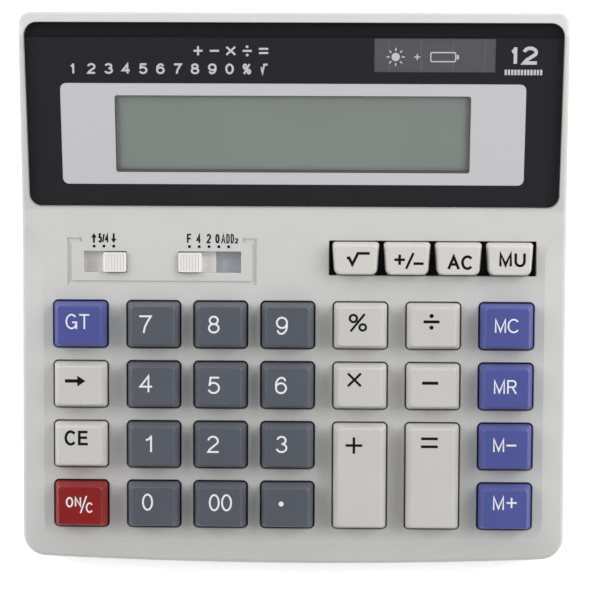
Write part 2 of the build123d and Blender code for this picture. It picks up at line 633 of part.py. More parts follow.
def lcd_ribbon():
    """The flat cable from the glass's front ledge down to the back edge of the board."""
    points = [on_side(DISPLAY, 8.4, RIBBON_N), on_side(DISPLAY, 3.4, RIBBON_N),
              on_side(KEYPAD, 31.0, BOARD_TOP + 0.25), on_side(KEYPAD, 24.6, BOARD_TOP + 0.12)]
    side_view = Plane(origin=(LCD[0], 0, 0), x_dir=(0, 1, 0), z_dir=(1, 0, 0))
    return band(side_view, points, 4.0, 0.2, RIBBON_WIDTH)


# ---------------------------------------------------------------- electronics
def main_board():
    """The circuit board under the mat."""
    front, back = BOARD_V
    board = slab(KEYPAD, 0, (front + back) / 2, 2 * BOARD_HALF, back - front, BOARD_LOW, BOARD_TOP, 1.5)
    for x, v in BOARD_SCREWS:
        board -= rod(KEYPAD, x, v, BOARD_SHANK + 0.25, BOARD_LOW - 1, BOARD_TOP + 1)
    return board


def key_mat():
    """The rubber sheet with a hollow dome under each plunger, cut away round bosses and switches."""
    front, back = MAT_V
    low = BOARD_TOP + 0.02
    mat = slab(KEYPAD, 0, (front + back) / 2, 2 * MAT_HALF, back - front, low, MAT_TOP, 2.0)
    for x, v in dome_points():
        place = Pos(x, v)
        mat += tapered(KEYPAD, place * Circle(4.4), place * Circle(2.6), MAT_TOP - 0.2, DOME_TOP)
    for x, v in dome_points():
        place = Pos(x, v)
        mat -= tapered(KEYPAD, place * Circle(3.7), place * Circle(1.8), low - 0.1, DOME_TOP - 0.9)
    for x, v in BOARD_SCREWS:
        mat -= rod(KEYPAD, x, v, BOARD_BOSS + 0.3, low - 1, MAT_TOP + 1)
    left, right = ROUND_SLOT[0] - 7, DECIMAL_SLOT[1] + 7
    mat -= slab(KEYPAD, (left + right) / 2, SWITCH_V + 4, right - left, 18, low - 1, MAT_TOP + 1, 1.0)
    return mat


def controller_blob():
    """The black resin that covers the bare chip on the board's underside."""
    height, radius = 1.6, 7.0
    ball = (radius ** 2 + height ** 2) / (2 * height)
    x, v = BLOB
    centre = KEYPAD.from_local_coords((x, v, BOARD_LOW + ball - height))
    return Pos(centre) * Sphere(ball) & slab(KEYPAD, x, v, 3 * radius, 3 * radius, BOARD_LOW - 5, BOARD_LOW)


def lying_bar(x, v, n, radius, length):
    """A round bar parallel to the board's long edge."""
    start = Plane(origin=KEYPAD.from_local_coords((x - length / 2, v, n)), z_dir=(1, 0, 0))
    return extrude(start * Circle(radius), amount=length)


def capacitors():
    """Two small electrolytic cans lying under the board, each with its two legs."""
    cans = []
    for x in CAPACITOR_X:
        n = BOARD_LOW - CAPACITOR_RADIUS - 0.05
        can = lying_bar(x, CAPACITOR_V, n, CAPACITOR_RADIUS, 7)
        can = fillet(can.edges().filter_by(GeomType.CIRCLE), 0.5)
        for side in (-1, 1):
            leg_v = CAPACITOR_V + side
            can += lying_bar(x + 4.0, leg_v, n, 0.25, 1.6)
            can += rod(KEYPAD, x + 4.6, leg_v, 0.25, n - 0.25, BOARD_LOW)
        cans.append(can)
    return group(cans)


def resistors():
    """Five resistors in a row under the board, with their leads."""
    bodies = []
    for step in range(5):
        x = RESISTOR_X + 9.0 * step
        n = BOARD_LOW - 0.95
        body = lying_bar(x, RESISTOR_V, n, 0.9, 3.6) + lying_bar(x, RESISTOR_V, n, 0.25, 6.4)
        for side in (-1, 1):
            body += rod(KEYPAD, x + side * 2.95, RESISTOR_V, 0.25, n - 0.25, BOARD_LOW)
        bodies.append(body)
    return group(bodies)


def solar_cell():
    """The cell in its pocket under the lens."""
    x, v, width, depth = SOLAR
    high = -LENS_THICK - 0.1
    return slab(DISPLAY, x, v, width, depth, high - SOLAR_THICK, high, 0.3)


def wire(points, radii, radius):
    """A lead along straight runs joined by arcs."""
    path = FilletPolyline(*points, radius=radii)
    start = Plane(origin=path @ 0, z_dir=path % 0)
    return sweep(start * Circle(radius), path=path)


def solar_leads():
    """Two leads from the solar cell down and forward to the board."""
    top_y, top_z = on_side(DISPLAY, LEAD_V, -LENS_THICK - 0.3 - SOLAR_THICK)
    end_y, end_z = on_side(KEYPAD, 24.0, BOARD_LOW - 0.1)
    leads = []
    for x in LEAD_X:
        points = [(x, top_y, top_z), (x, top_y + 1.5, 21.0), (x, 57.0, 10.0), (x, 41.0, 5.5), (x, 27.0, 5.0),
                  (x, 16.5, 6.0), (x, end_y, end_z)]
        leads.append(wire(points, [10.0, 12.0, 20.0, 20.0, 3.5], LEAD_RADIUS))
    return group(leads)


def battery_leads():
    """Two leads from the battery contacts along the floor to the board."""
    end_y, end_z = on_side(KEYPAD, 24.0, BOARD_LOW - 0.1)
    leads = []
    for x, away in ((END_WALL_X[0] - CONTACT_OUT - 0.75, -1), (END_WALL_X[1] + CONTACT_OUT + 0.75, 1)):
        out = x + away * 3.0
        points = [(x, CELL_Y, 11.0), (x, CELL_Y - 3, 5.0), (out, 43.0, 4.0), (out, 30.0, 4.0),
                  (out, 18.0, 5.5), (out, end_y, end_z)]
        leads.append(wire(points, [4.0, 10.0, 18.0, 3.5], LEAD_RADIUS))
    return group(leads)


# ---------------------------------------------------------------- power
def battery_cell():
    """The AA cell: can, end groove and positive nub."""
    start, end = CELL_X
    base = Plane(origin=(start, CELL_Y, CELL_Z), x_dir=(0, 1, 0), z_dir=(1, 0, 0))
    can = extrude(base * Circle(CELL_RADIUS), amount=end - start)
    can = fillet(can.edges().filter_by(GeomType.CIRCLE), 0.6)
    return can + extrude(base.offset(end - start - 0.5) * Circle(2.75), amount=2.5)


def battery_spring():
    """The negative contact: a strip hooked over its wall, folded into a springy nose."""
    wall = END_WALL_X[0]
    inner, outer = wall + CONTACT_OUT, wall - CONTACT_OUT
    high = END_WALL_TOP + 0.25
    points = [(outer, 8.0), (outer, high), (inner, high), (inner, 5.0), (CELL_X[0] - 0.25, 9.6),
              (inner + 1.3, 13.4)]
    return band(Plane(origin=(0, CELL_Y, 0), x_dir=(1, 0, 0), z_dir=(0, -1, 0)), points, 0.45, 0.3, 7.0)


def battery_plate():
    """The positive contact: a strip hooked over its wall, with a dimple for the nub."""
    wall = END_WALL_X[1]
    inner, outer = wall - CONTACT_OUT, wall + CONTACT_OUT
    high = END_WALL_TOP + 0.25
    side = Plane(origin=(0, CELL_Y, 0), x_dir=(1, 0, 0), z_dir=(0, -1, 0))
    strip = band(side, [(outer, 8.0), (outer, high), (inner, high), (inner, 4.0)], 0.45, 0.3, 9.0)
    nub_end = CELL_X[1] + 2.0
    dimple = Plane(origin=(nub_end + 0.03, CELL_Y, CELL_Z), x_dir=(0, 1, 0), z_dir=(1, 0, 0))
    return strip + extrude(dimple * Circle(2.2), amount=inner - nub_end - 0.03)


# ---------------------------------------------------------------- switches
def knob(x, slider_half):
    """A switch knob: ridged crown through the slot, sliding flange below, foot for the wiper."""
    v = SWITCH_V
    crown = slab(KEYPAD, x, v, KNOB_LENGTH, KNOB_DEPTH, FLANGE_LOW, KNOB_RISE, 0.3)
    axis = Plane(origin=KEYPAD.from_local_coords((x, v, KNOB_RISE - KNOB_CROWN)),
                 x_dir=(1, 0, 0), z_dir=KEYPAD.y_dir)
    crown &= extrude(axis * Circle(KNOB_CROWN), amount=10, both=True) + slab(KEYPAD, x, v, 10, 10, -5, 0)
    for step in range(-3, 4):
        crown -= slab(KEYPAD, x + 0.8 * step, v, 0.3, KNOB_DEPTH - 0.8, ridge_low(0.8 * step), KNOB_RISE + 1)
    flange = slab(KEYPAD, x, v, 2 * slider_half, SLIDER_DEPTH, FLANGE_LOW, FLANGE_TOP, 0.5)
    return crown + flange + slab(KEYPAD, x, v, KNOB_FOOT, KNOB_FOOT, WIPER_TOP + 0.05, FLANGE_LOW + 0.1)


def ridge_low(offset):
    """Bottom of a groove between two ridges of the crown."""
    return KNOB_RISE - KNOB_CROWN + sqrt(KNOB_CROWN ** 2 - offset ** 2) - KNOB_RIDGE


def shutter(x):
    """The thin plate round a knob's foot that fills the rest of its slot."""
    low, high = SHUTTER
    opening = KNOB_FOOT + 2 * FIT_GAP
    sheet = slab(KEYPAD, x, SWITCH_V, 2 * SHUTTER_HALF, SLIDER_DEPTH, low, high, 0.5)
    return sheet - slab(KEYPAD, x, SWITCH_V, opening, opening, low - 1, high + 1)


def wiper(x):
    """The bent brass contact under a knob, touching the board at two points."""
    touch = BOARD_TOP + 0.12
    top = WIPER_TOP - 0.1
    points = [(x - 4.0, touch + 0.8), (x - 3.0, touch), (x - 1.4, top), (x + 1.4, top), (x + 3.0, touch),
              (x + 4.0, touch + 0.8)]
    plane = Plane(origin=KEYPAD.from_local_coords((0, SWITCH_V, 0)), x_dir=(1, 0, 0), z_dir=-KEYPAD.y_dir)
    return band(plane, points, 0.3, 0.2, 2.4)


# ---------------------------------------------------------------- fixings
def case_screws():
    """Six screws that come up through the base."""
    return group(pan_screw(Plane.XY, x, y, CASE_SEAT_Z - 1.6, CASE_SEAT_Z, CASE_HEAD,
                           CASE_SHANK_HIGH, CASE_SHANK)
                 for x, y in SCREW_POINTS)


def board_screws():
    """Screws that clamp the board and mat to the deck's bosses."""
    return group(pan_screw(KEYPAD, x, v, BOARD_LOW - 1.2, BOARD_LOW, BOARD_HEAD,
                           BOARD_SHANK_HIGH, BOARD_SHANK)
                 for x, v in BOARD_SCREWS)


def holder_screws():
    """Four screws that hold the display frame."""
    return group(pan_screw(DISPLAY, side * HOLDER_EAR_X, v, HOLDER_LOW - 1.2, HOLDER_LOW, BOARD_HEAD,
                           HOLDER_SHANK_HIGH, BOARD_SHANK)
                 for side in (-1, 1) for v in HOLDER_EAR_V)


def rubber_feet():
    """Four round feet in shallow recesses."""
    feet = []
    for x, y in FOOT_POINTS:
        foot = rod(Plane.XY, x, y, FOOT_RADIUS, 0, BASE_Z + FOOT_RECESS - 0.02)
        feet.append(fillet(foot.faces().sort_by(Axis.Z)[0].edges(), 0.35))
    return group(feet)


def main():
    os.makedirs("parts", exist_ok=True)
    nodes = {
        "upper_case": upper_case(),
        "lower_case": lower_case(),
        "battery_door": battery_door(),
        "display_lens": display_lens(),
        "lcd_glass": slab(DISPLAY, *LCD, LCD_TOP - LCD_THICK, LCD_TOP),
        "lcd_reflector": slab(DISPLAY, LCD[0], LCD[1] + 3.0, 102, 22, -6.15, -5.95),
        "lcd_holder": lcd_holder(),
        "lcd_ribbon": lcd_ribbon(),
        "solar_cell": solar_cell(),
        "main_board": main_board(),
        "controller_blob": controller_blob(),
        "capacitors": capacitors(),
        "resistors": resistors(),
        "key_mat": key_mat(),
        "battery_cell": battery_cell(),
        "battery_spring": battery_spring(),
        "battery_plate": battery_plate(),
        "battery_leads": battery_leads(),
        "solar_leads": solar_leads(),
        "round_knob": knob(ROUND_X, ROUND_SLIDER_HALF),
        "round_wiper": wiper(ROUND_X),
        "decimal_knob": knob(DECIMAL_X, DECIMAL_SLIDER_HALF),
        "decimal_wiper": wiper(DECIMAL_X),
        "decimal_shutter": shutter(DECIMAL_X),
        "case_screws": case_screws(),
        "board_screws": board_screws(),
        "holder_screws": holder_screws(),
        "rubber_feet": rubber_feet(),
    }
    for name, column, first, last in KEYS:
        nodes["key_" + name] = large_key(COLUMNS[column], column, first, last)
    for name, x in zip(SMALL_KEYS, SMALL_X):
        nodes["key_" + name] = small_key(x)
    for name, shape in nodes.items():
        export_step(shape, f"parts/{name}.step")


if __name__ == "__main__":
    main()
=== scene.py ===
import json
import math

import bpy
from mathutils import Matrix, Vector
from mathutils.geometry import delaunay_2d_cdt


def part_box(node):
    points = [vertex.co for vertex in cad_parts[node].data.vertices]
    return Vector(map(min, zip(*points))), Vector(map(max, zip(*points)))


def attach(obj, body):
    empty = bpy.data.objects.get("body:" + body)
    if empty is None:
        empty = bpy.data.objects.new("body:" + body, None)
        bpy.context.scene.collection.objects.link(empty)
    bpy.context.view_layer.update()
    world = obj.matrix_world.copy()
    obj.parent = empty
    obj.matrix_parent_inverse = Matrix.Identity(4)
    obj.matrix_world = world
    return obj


# Looks of a desk calculator: key legends, printed panel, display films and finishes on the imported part.
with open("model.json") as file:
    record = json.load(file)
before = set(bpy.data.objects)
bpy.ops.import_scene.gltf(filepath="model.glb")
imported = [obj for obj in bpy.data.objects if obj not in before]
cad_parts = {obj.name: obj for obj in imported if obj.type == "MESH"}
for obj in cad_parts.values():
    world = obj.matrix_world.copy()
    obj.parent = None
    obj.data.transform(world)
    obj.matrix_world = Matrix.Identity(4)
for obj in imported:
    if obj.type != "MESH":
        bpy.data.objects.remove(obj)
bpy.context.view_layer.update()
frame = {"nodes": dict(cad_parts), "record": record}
nodes = frame["nodes"]

MM = 0.001
KEYPAD_TILT = 5.0           # degrees, the deck that the keys stand on
DISPLAY_TILT = 16.0         # the panel in front of its bend

INK_THICK = 0.03            # a print layer
INK_SUNK = INK_THICK / 3    # how far a print on a face is let into it
LENS_GAP = 0.02             # between the clear lens and the prints behind it
STROKE = 0.52               # line width of the printed digits
THIN = 0.44                 # line width of the lettering on the memory keys


# ---------------------------------------------------------------- places
class Slope:
    """The axes of a sloping face in millimetres: x across, v up the slope, n out of it."""

    def __init__(self, degrees):
        angle = math.radians(degrees)
        self.v = Vector((0, math.cos(angle), math.sin(angle)))
        self.n = Vector((0, -math.sin(angle), math.cos(angle)))

    def point(self, x, v, n):
        """A point of the slope in the row frame, in metres."""
        return (Vector((x, 0, 0)) + v * self.v + n * self.n) * MM

    def local(self, co):
        """A point in metres as x, v and n."""
        return Vector((co.x, co.dot(self.v), co.dot(self.n))) / MM

    def extent(self, node):
        """The lowest and highest x, v and n of a CAD node."""
        places = [self.local(vertex.co) for vertex in nodes[node].data.vertices]
        return Vector(map(min, *places)), Vector(map(max, *places))


KEYPAD = Slope(KEYPAD_TILT)
DISPLAY = Slope(DISPLAY_TILT)


# ---------------------------------------------------------------- outlines
def arc(cx, cy, rx, ry, start, end, steps=None):
    """Points of an elliptical arc, angles in degrees."""
    steps = steps or max(6, round(abs(end - start) / 12))
    angles = [math.radians(start + (end - start) * i / steps) for i in range(steps + 1)]
    return [(cx + rx * math.cos(a), cy + ry * math.sin(a)) for a in angles]


def rounded(x0, v0, x1, v1, radius):
    """Outline of a rounded rectangle, counter-clockwise."""
    corners = ((x1 - radius, v0 + radius, -90), (x1 - radius, v1 - radius, 0),
               (x0 + radius, v1 - radius, 90), (x0 + radius, v0 + radius, 180))
    return [point for x, v, start in corners for point in arc(x, v, radius, radius, start, start + 90, 6)]


def disc(x, v, radius):
    """Outline of a round dot."""
    return arc(x, v, radius, radius, 0, 345, 23)


def stroke(points, width):
    """A line of even width as quads that share their mitred ends. Equal end points close it."""
    line = [Vector(p) for p in points]
    closed = (line[0] - line[-1]).length < 1e-6
    if closed:
        line.pop()
    count = len(line)
    sides = []
    for i, point in enumerate(line):
        before = line[i - 1] if closed or i > 0 else None
        after = line[(i + 1) % count] if closed or i < count - 1 else None
        into = (point - before).normalized() if before is not None else (after - point).normalized()
        out = (after - point).normalized() if after is not None else into
        across = Vector((-into.y - out.y, into.x + out.x))
        across = across.normalized() if across.length > 1e-6 else Vector((-into.y, into.x))
        reach = min(2.6, 1 / max(0.2, across.dot(Vector((-into.y, into.x)))))
        sides.append((point + across * reach * width / 2, point - across * reach * width / 2))
    pairs = list(zip(sides, sides[1:] + sides[:1])) if closed else list(zip(sides, sides[1:]))
    return [[b[0], a[0], a[1], b[1]] for a, b in pairs]


class Region:
    """An outline that can say whether a point lies in it."""

    def __init__(self, outline):
        self.sides = list(zip(outline, outline[1:] + outline[:1]))
        self.low = [min(p[axis] for p in outline) for axis in (0, 1)]
        self.high = [max(p[axis] for p in outline) for axis in (0, 1)]

    def holds(self, x, v):
        if not (self.low[0] < x < self.high[0] and self.low[1] < v < self.high[1]):
            return False
        crossed = [a for a, b in self.sides
                   if (a[1] > v) != (b[1] > v) and x < a[0] + (b[0] - a[0]) * (v - a[1]) / (b[1] - a[1])]
        return len(crossed) % 2 == 1


# ---------------------------------------------------------------- glyphs
# Centre lines in a box one wide and one high.
FULL = arc(0.5, 0.5, 0.5, 0.5, 90, 450)
SIX_BOWL = arc(0.5, 0.32, 0.5, 0.32, 0, 360)
SIX_BACK = arc(0.56, 0.50, 0.56, 0.50, 192, 90) + arc(0.56, 0.72, 0.38, 0.28, 75, 12, 6)


def turned(lines):
    """Centre lines turned half a turn in their box."""
    return [[(1 - x, 1 - y) for x, y in line] for line in lines]


GLYPHS = {
    "0": [FULL],
    "1": [[(0.0, 0.74), (0.40, 0.78), (0.78, 0.88), (1.0, 1.0)], [(1.0, 1.06), (1.0, -0.06)]],
    "2": [arc(0.5, 0.71, 0.48, 0.29, 172, -28) + [(0.60, 0.40), (0.20, 0.18), (0.02, 0.0), (1.06, 0.0)]],
    "3": [arc(0.48, 0.765, 0.44, 0.235, 168, -90), arc(0.48, 0.27, 0.52, 0.265, 90, -168)],
    "4": [[(0.74, -0.06), (0.74, 0.98), (0.0, 0.30), (1.08, 0.30)]],
    "5": [[(1.02, 1.0), (0.17, 1.0), (0.06, 0.46)], arc(0.47, 0.33, 0.53, 0.33, 146, -158)],
    "6": [SIX_BOWL, SIX_BACK],
    "7": [[(-0.06, 1.0), (1.0, 1.0), (0.66, 0.62), (0.44, 0.30), (0.34, -0.06)]],
    "8": [arc(0.5, 0.765, 0.42, 0.235, 0, 360), arc(0.5, 0.27, 0.5, 0.27, 0, 360)],
    "9": turned([SIX_BOWL, SIX_BACK]),
    "A": [[(-0.02, -0.06), (0.5, 1.0), (1.02, -0.06)], [(0.17, 0.34), (0.83, 0.34)]],
    "C": [arc(0.52, 0.5, 0.52, 0.5, 40, 320)],
    "D": [[(0.0, 1.0), (0.0, 0.0), (0.42, 0.0)] + arc(0.42, 0.5, 0.58, 0.5, -80, 80)
          + [(0.42, 1.0), (0.0, 1.0)]],
    "E": [[(1.03, 1.0), (0.0, 1.0), (0.0, 0.0), (1.06, 0.0)], [(0.0, 0.53), (0.96, 0.53)]],
    "F": [[(1.03, 1.0), (0.0, 1.0), (0.0, -0.06)], [(0.0, 0.50), (0.9, 0.50)]],
    "G": [arc(0.5, 0.5, 0.5, 0.5, 42, 318) + [(0.97, 0.44), (0.55, 0.44)], [(0.97, 0.3), (0.97, -0.04)]],
    "M": [[(0.0, -0.06), (0.0, 1.0), (0.5, 0.05), (1.0, 1.0), (1.0, -0.06)]],
    "N": [[(0.0, -0.06), (0.0, 1.0), (1.0, 0.0), (1.0, 1.06)]],
    "O": [FULL],
    "R": [[(0.0, -0.06), (0.0, 1.0), (0.55, 1.0)] + arc(0.60, 0.74, 0.34, 0.26, 80, -80) + [(0.0, 0.48)],
          [(0.52, 0.48), (1.0, -0.06)]],
    "T": [[(-0.06, 1.0), (1.06, 1.0)], [(0.5, 1.0), (0.5, -0.06)]],
    "U": [[(0.0, 1.06)] + arc(0.5, 0.37, 0.5, 0.37, 180, 360) + [(1.0, 1.06)]],
    "+": [[(-0.06, 0.5), (1.06, 0.5)], [(0.5, -0.06), (0.5, 1.06)]],
    "x": [[(-0.03, -0.03), (1.03, 1.03)], [(-0.03, 1.03), (1.03, -0.03)]],
    "-": [[(-0.06, 0.5), (1.06, 0.5)]],
    "=": [[(-0.06, 0.0), (1.06, 0.0)], [(-0.06, 1.0), (1.06, 1.0)]],
    "/": [[(0.0, 0.0), (1.0, 1.0)]],
    "%": [arc(0.22, 0.77, 0.22, 0.23, 0, 360), arc(0.80, 0.20, 0.20, 0.20, 0, 360),
          [(0.05, -0.06), (0.92, 1.06)]],
    "root": [[(0.0, 0.56), (0.10, 0.60), (0.25, 0.0), (0.50, 1.0), (1.03, 1.0)]],
}


def glyph(name, x0, v0, x1, v1, width=STROKE):
    """A glyph whose inked box runs from (x0, v0) to (x1, v1), as outlines."""
    half = width / 2
    wide, high = x1 - x0 - width, v1 - v0 - width
    lines = [[(x0 + half + wide * x, v0 + half + high * y) for x, y in line] for line in GLYPHS[name]]
    return [quad for line in lines for quad in stroke(line, width)]


# ---------------------------------------------------------------- meshes
def new_piece(name, vertices, faces, finish, body="case"):
    """A mesh piece with its finish that rides on a body."""
    mesh = bpy.data.meshes.new(name)
    mesh.from_pydata([tuple(v) for v in vertices], [], faces)
    mesh.update()
    piece = bpy.data.objects.new(name, mesh)
    bpy.context.scene.collection.objects.link(piece)
    mesh.materials.append(finish)
    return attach(piece, body) if body else piece


def plate(name, slope, outlines, low, thick, finish, body="case", holes=()):
    """A thin closed sheet on a slope: the union of the outlines, less the holes."""
    points, sides = [], []
    for outline in [*outlines, *holes]:
        ring = list(range(len(points), len(points) + len(outline)))
        sides += list(zip(ring, ring[1:] + ring[:1]))
        points += [Vector(p[:2]) for p in outline]
    flat, _, triangles, _, _, _ = delaunay_2d_cdt(points, sides, [], 0, 1e-5)
    solid, empty = [[Region(outline) for outline in group] for group in (outlines, holes)]
    inked = []
    for triangle in triangles:
        x, v = sum((flat[i] for i in triangle), Vector((0, 0))) / 3
        if any(region.holds(x, v) for region in solid) and not any(region.holds(x, v) for region in empty):
            inked.append(triangle)
    used = sorted({i for t in inked for i in t})
    place = {i: k for k, i in enumerate(used)}
    count = len(used)
    vertices = [slope.point(flat[i].x, flat[i].y, low) for i in used]
    vertices += [slope.point(flat[i].x, flat[i].y, low + thick) for i in used]
    top = [tuple(place[i] + count for i in t) for t in inked]
    bottom = [tuple(place[i] for i in reversed(t)) for t in inked]
    edges = {(t[i], t[(i + 1) % 3]) for t in inked for i in range(3)}
    rim = [(a, b) for a, b in edges if (b, a) not in edges]
    walls = [(place[a], place[b], place[b] + count, place[a] + count) for a, b in sorted(rim)]
    return new_piece(name, vertices, top + bottom + walls, finish, body)


# ---------------------------------------------------------------- what the CAD nodes say
def welded_faces(node):
    """A CAD node's points in metres, each place once, and its triangles with their normals."""
    mesh = nodes[node].data
    mesh.calc_loop_triangles()
    points, index, joined = [], {}, []
    for vertex in mesh.vertices:
        micrometres = tuple(round(c / (0.001 * MM)) for c in vertex.co)
        if micrometres not in index:
            index[micrometres] = len(points)
            points.append(vertex.co.copy())
        joined.append(index[micrometres])
    return points, [([joined[i] for i in t.vertices], t.normal.copy()) for t in mesh.loop_triangles]


def deck_level():
    """The height of the deck around the keys, out of its slope: the largest flat stretch facing that way."""
    points, triangles = welded_faces("upper_case")
    areas = {}
    for (a, b, c), normal in triangles:
        if normal.dot(KEYPAD.n) > 0.9999:
            level = round(KEYPAD.local(points[a]).z, 2)
            share = (points[b] - points[a]).cross(points[c] - points[a]).length
            areas[level] = areas.get(level, 0) + share
    return max(areas, key=areas.get)


# ---------------------------------------------------------------- finishes
class Finish:
    """A node material whose pattern follows the object's own millimetres."""

    def __init__(self, name, roughness, **constants):
        self.material = bpy.data.materials.new(name)
        self.material.use_nodes = True
        self.tree = self.material.node_tree
        self.shader = self.tree.nodes["Principled BSDF"]
        self.shader.inputs["Roughness"].default_value = roughness
        for socket, value in constants.items():
            self.shader.inputs[socket.replace("_", " ")].default_value = value
        place = self.tree.nodes.new("ShaderNodeTexCoord")
        self.place = place.outputs["Object"]

    def node(self, kind, **inputs):
        made = self.tree.nodes.new(kind)
        for socket, value in inputs.items():
            self.feed(made.inputs[socket.replace("_", " ")], value)
        return made

    def feed(self, socket, value):
        if isinstance(value, bpy.types.NodeSocket):
            self.tree.links.new(value, socket)
        else:
            socket.default_value = value

    def noise(self, size, detail=2.0, stretch=(1, 1, 1)):
        """Noise from 0 to 1 with features of that size in millimetres."""
        turn = self.node("ShaderNodeMapping", Vector=self.place)
        turn.inputs["Scale"].default_value = [s / (size * MM) for s in stretch]
        return self.node("ShaderNodeTexNoise", Vector=turn.outputs[0], Scale=1.0, Detail=detail).outputs[0]

    def between(self, share, low, high, start=0.3, end=0.7):
        """A number that runs from low to high as share runs from start to end."""
        made = self.node("ShaderNodeMapRange", Value=share, From_Min=start, From_Max=end,
                         To_Min=low, To_Max=high)
        return made.outputs[0]

    def blend(self, share, first, second):
        """A colour between two colours or sockets."""
        made = self.tree.nodes.new("ShaderNodeMix")
        made.data_type = "RGBA"
        self.feed(made.inputs[0], share)
        self.feed(made.inputs[6], first)
        self.feed(made.inputs[7], second)
        return made.outputs[2]

    def colour(self, value):
        self.feed(self.shader.inputs["Base Color"], value)

    def rough(self, value):
        self.feed(self.shader.inputs["Roughness"], value)

    def relief(self, height, depth):
        """Bumps of that depth in millimetres."""
        made = self.node("ShaderNodeBump", Height=height, Distance=depth * MM, Strength=1.0)
        self.tree.links.new(made.outputs[0], self.shader.inputs["Normal"])


def shade(colour, factor):
    """A colour made darker or lighter."""
    return (*[min(1.0, c * factor) for c in colour[:3]], 1.0)


def moulded(name, colour, roughness, grain=0.35, depth=0.006, spread=0.05):
    """Moulded plastic: a fine spark-eroded grain, and slow changes of tone and gloss."""
    made = Finish(name, roughness)
    tone = made.between(made.noise(14.0, 3.0), 0, 1)
    made.colour(made.blend(tone, shade(colour, 1 - spread), shade(colour, 1 + spread)))
    made.rough(made.between(made.noise(3.0, 3.0), roughness - 0.04, roughness + 0.05))
    made.relief(made.noise(grain, 2.0), depth)
    return made.material


def printed(name, colour, roughness, gloss=0.5):
    """Printing ink: nearly even, a little mottled. Behind a clear panel it has no gloss of its own."""
    made = Finish(name, roughness, Specular_IOR_Level=gloss)
    made.colour(made.blend(made.noise(0.8, 2.0), shade(colour, 0.96), shade(colour, 1.04)))
    made.relief(made.noise(0.15), 0.002)
    return made.material


def metal(name, colour, roughness, stretch=(1, 1, 1)):
    """Plated or drawn metal with fine marks."""
    made = Finish(name, roughness, Metallic=1.0)
    marks = made.noise(0.25, 3.0, stretch)
    made.colour(made.blend(made.noise(2.0, 2.0), shade(colour, 0.9), shade(colour, 1.05)))
    made.rough(made.between(marks, roughness - 0.07, roughness + 0.1))
    made.relief(marks, 0.004)
    return made.material


def clear_panel(name):
    """Clear acrylic: see-through, with a mirror reflection on its outside that grows at low angles."""
    made = Finish(name, 0.05)
    tree = made.tree
    waves = made.noise(9.0, 1.0)
    ripple = made.node("ShaderNodeBump", Height=waves, Distance=0.01 * MM, Strength=1.0).outputs[0]
    fresnel = made.node("ShaderNodeFresnel", IOR=1.45, Normal=ripple)
    inside = tree.nodes.new("ShaderNodeNewGeometry").outputs["Backfacing"]
    mirrored = made.between(inside, fresnel.outputs[0], 0.0, 0.0, 1.0)
    gloss = made.node("ShaderNodeBsdfGlossy", Roughness=0.06, Normal=ripple)
    open_way = made.node("ShaderNodeBsdfTransparent", Color=(0.98, 0.98, 0.98, 1))
    both = tree.nodes.new("ShaderNodeMixShader")
    for socket, source in zip(both.inputs, (mirrored, open_way.outputs[0], gloss.outputs[0])):
        tree.links.new(source, socket)
    tree.nodes.remove(made.shader)
    output = next(n for n in tree.nodes if n.type == "OUTPUT_MATERIAL")
    tree.links.new(both.outputs[0], output.inputs["Surface"])
    return made.material


def solder_mask(name):
    """Lacquered circuit board: a blue-grey coat over raised copper tracks."""
    made = Finish(name, 0.38)
    tracks = made.node("ShaderNodeTexBrick", Vector=made.place, Scale=1 / (9.0 * MM), Mortar_Size=0.03)
    height = made.between(tracks.outputs["Fac"], 0, 1, 0, 1)
    made.colour(made.blend(height, MASK_GREY, MASK_TRACK))
    made.relief(height, 0.03)
    return made.material


def solar_film(name):
    """Amorphous solar cell: violet brown fields, split by thin bright lines."""
    made = Finish(name, 0.22)
    low, high = span("solar_cell")
    field = (high.x - low.x) / 4
    waves = made.node("ShaderNodeTexWave", Vector=made.place, Scale=math.pi / (10 * field * MM))
    line = made.between(waves.outputs["Fac"], 1, 0, 0.0, 0.012)
    tint = made.blend(made.noise(5.0), SOLAR_DARK, SOLAR_LIGHT)
    made.colour(made.blend(line, tint, SOLAR_LINE))
    return made.material


def display_film(name):
    """Polariser of the display glass: grey green, with the faintest mottling."""
    made = Finish(name, 0.42)
    tone = made.between(made.noise(25.0, 1.0), 0, 1)
    made.colour(made.blend(tone, LCD_GREEN, shade(LCD_GREEN, 1.05)))
    made.relief(made.noise(0.12), 0.002)
    return made.material


def rubber(name, colour):
    """Soft rubber: matt, with a fine sandy skin."""
    made = Finish(name, 0.75)
    made.colour(made.blend(made.noise(2.5, 3.0), shade(colour, 0.85), shade(colour, 1.15)))
    made.relief(made.noise(0.3, 3.0), 0.015)
    return made.material


def cell_jacket(name):
    """Printed jacket of the cell: one dark band and one copper band along it."""
    made = Finish(name, 0.25, Metallic=0.6)
    low, high = span("battery_cell")
    along = made.node("ShaderNodeSeparateXYZ", Vector=made.place).outputs["X"]
    edge = (low.x + (high.x - low.x) * 0.68) * MM
    band = made.between(along, 0, 1, edge - 0.1 * MM, edge + 0.1 * MM)
    tint = made.blend(band, JACKET_BLACK, JACKET_COPPER)
    made.colour(made.blend(made.noise(4.0), tint, JACKET_MARKS))
    return made.material


def banded(name, body, ring):
    """Small electronic parts: a lacquered body with coloured rings."""
    made = Finish(name, 0.3)
    rings = made.node("ShaderNodeTexWave", Vector=made.place, Scale=1 / (4.0 * MM))
    made.colour(made.blend(made.between(rings.outputs["Fac"], 0, 1, 0.85, 0.9), body, ring))
    made.relief(made.noise(1.0), 0.01)
    return made.material


def span(node):
    """A CAD node's lowest and highest corner in millimetres."""
    low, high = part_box(node)
    return low / MM, high / MM


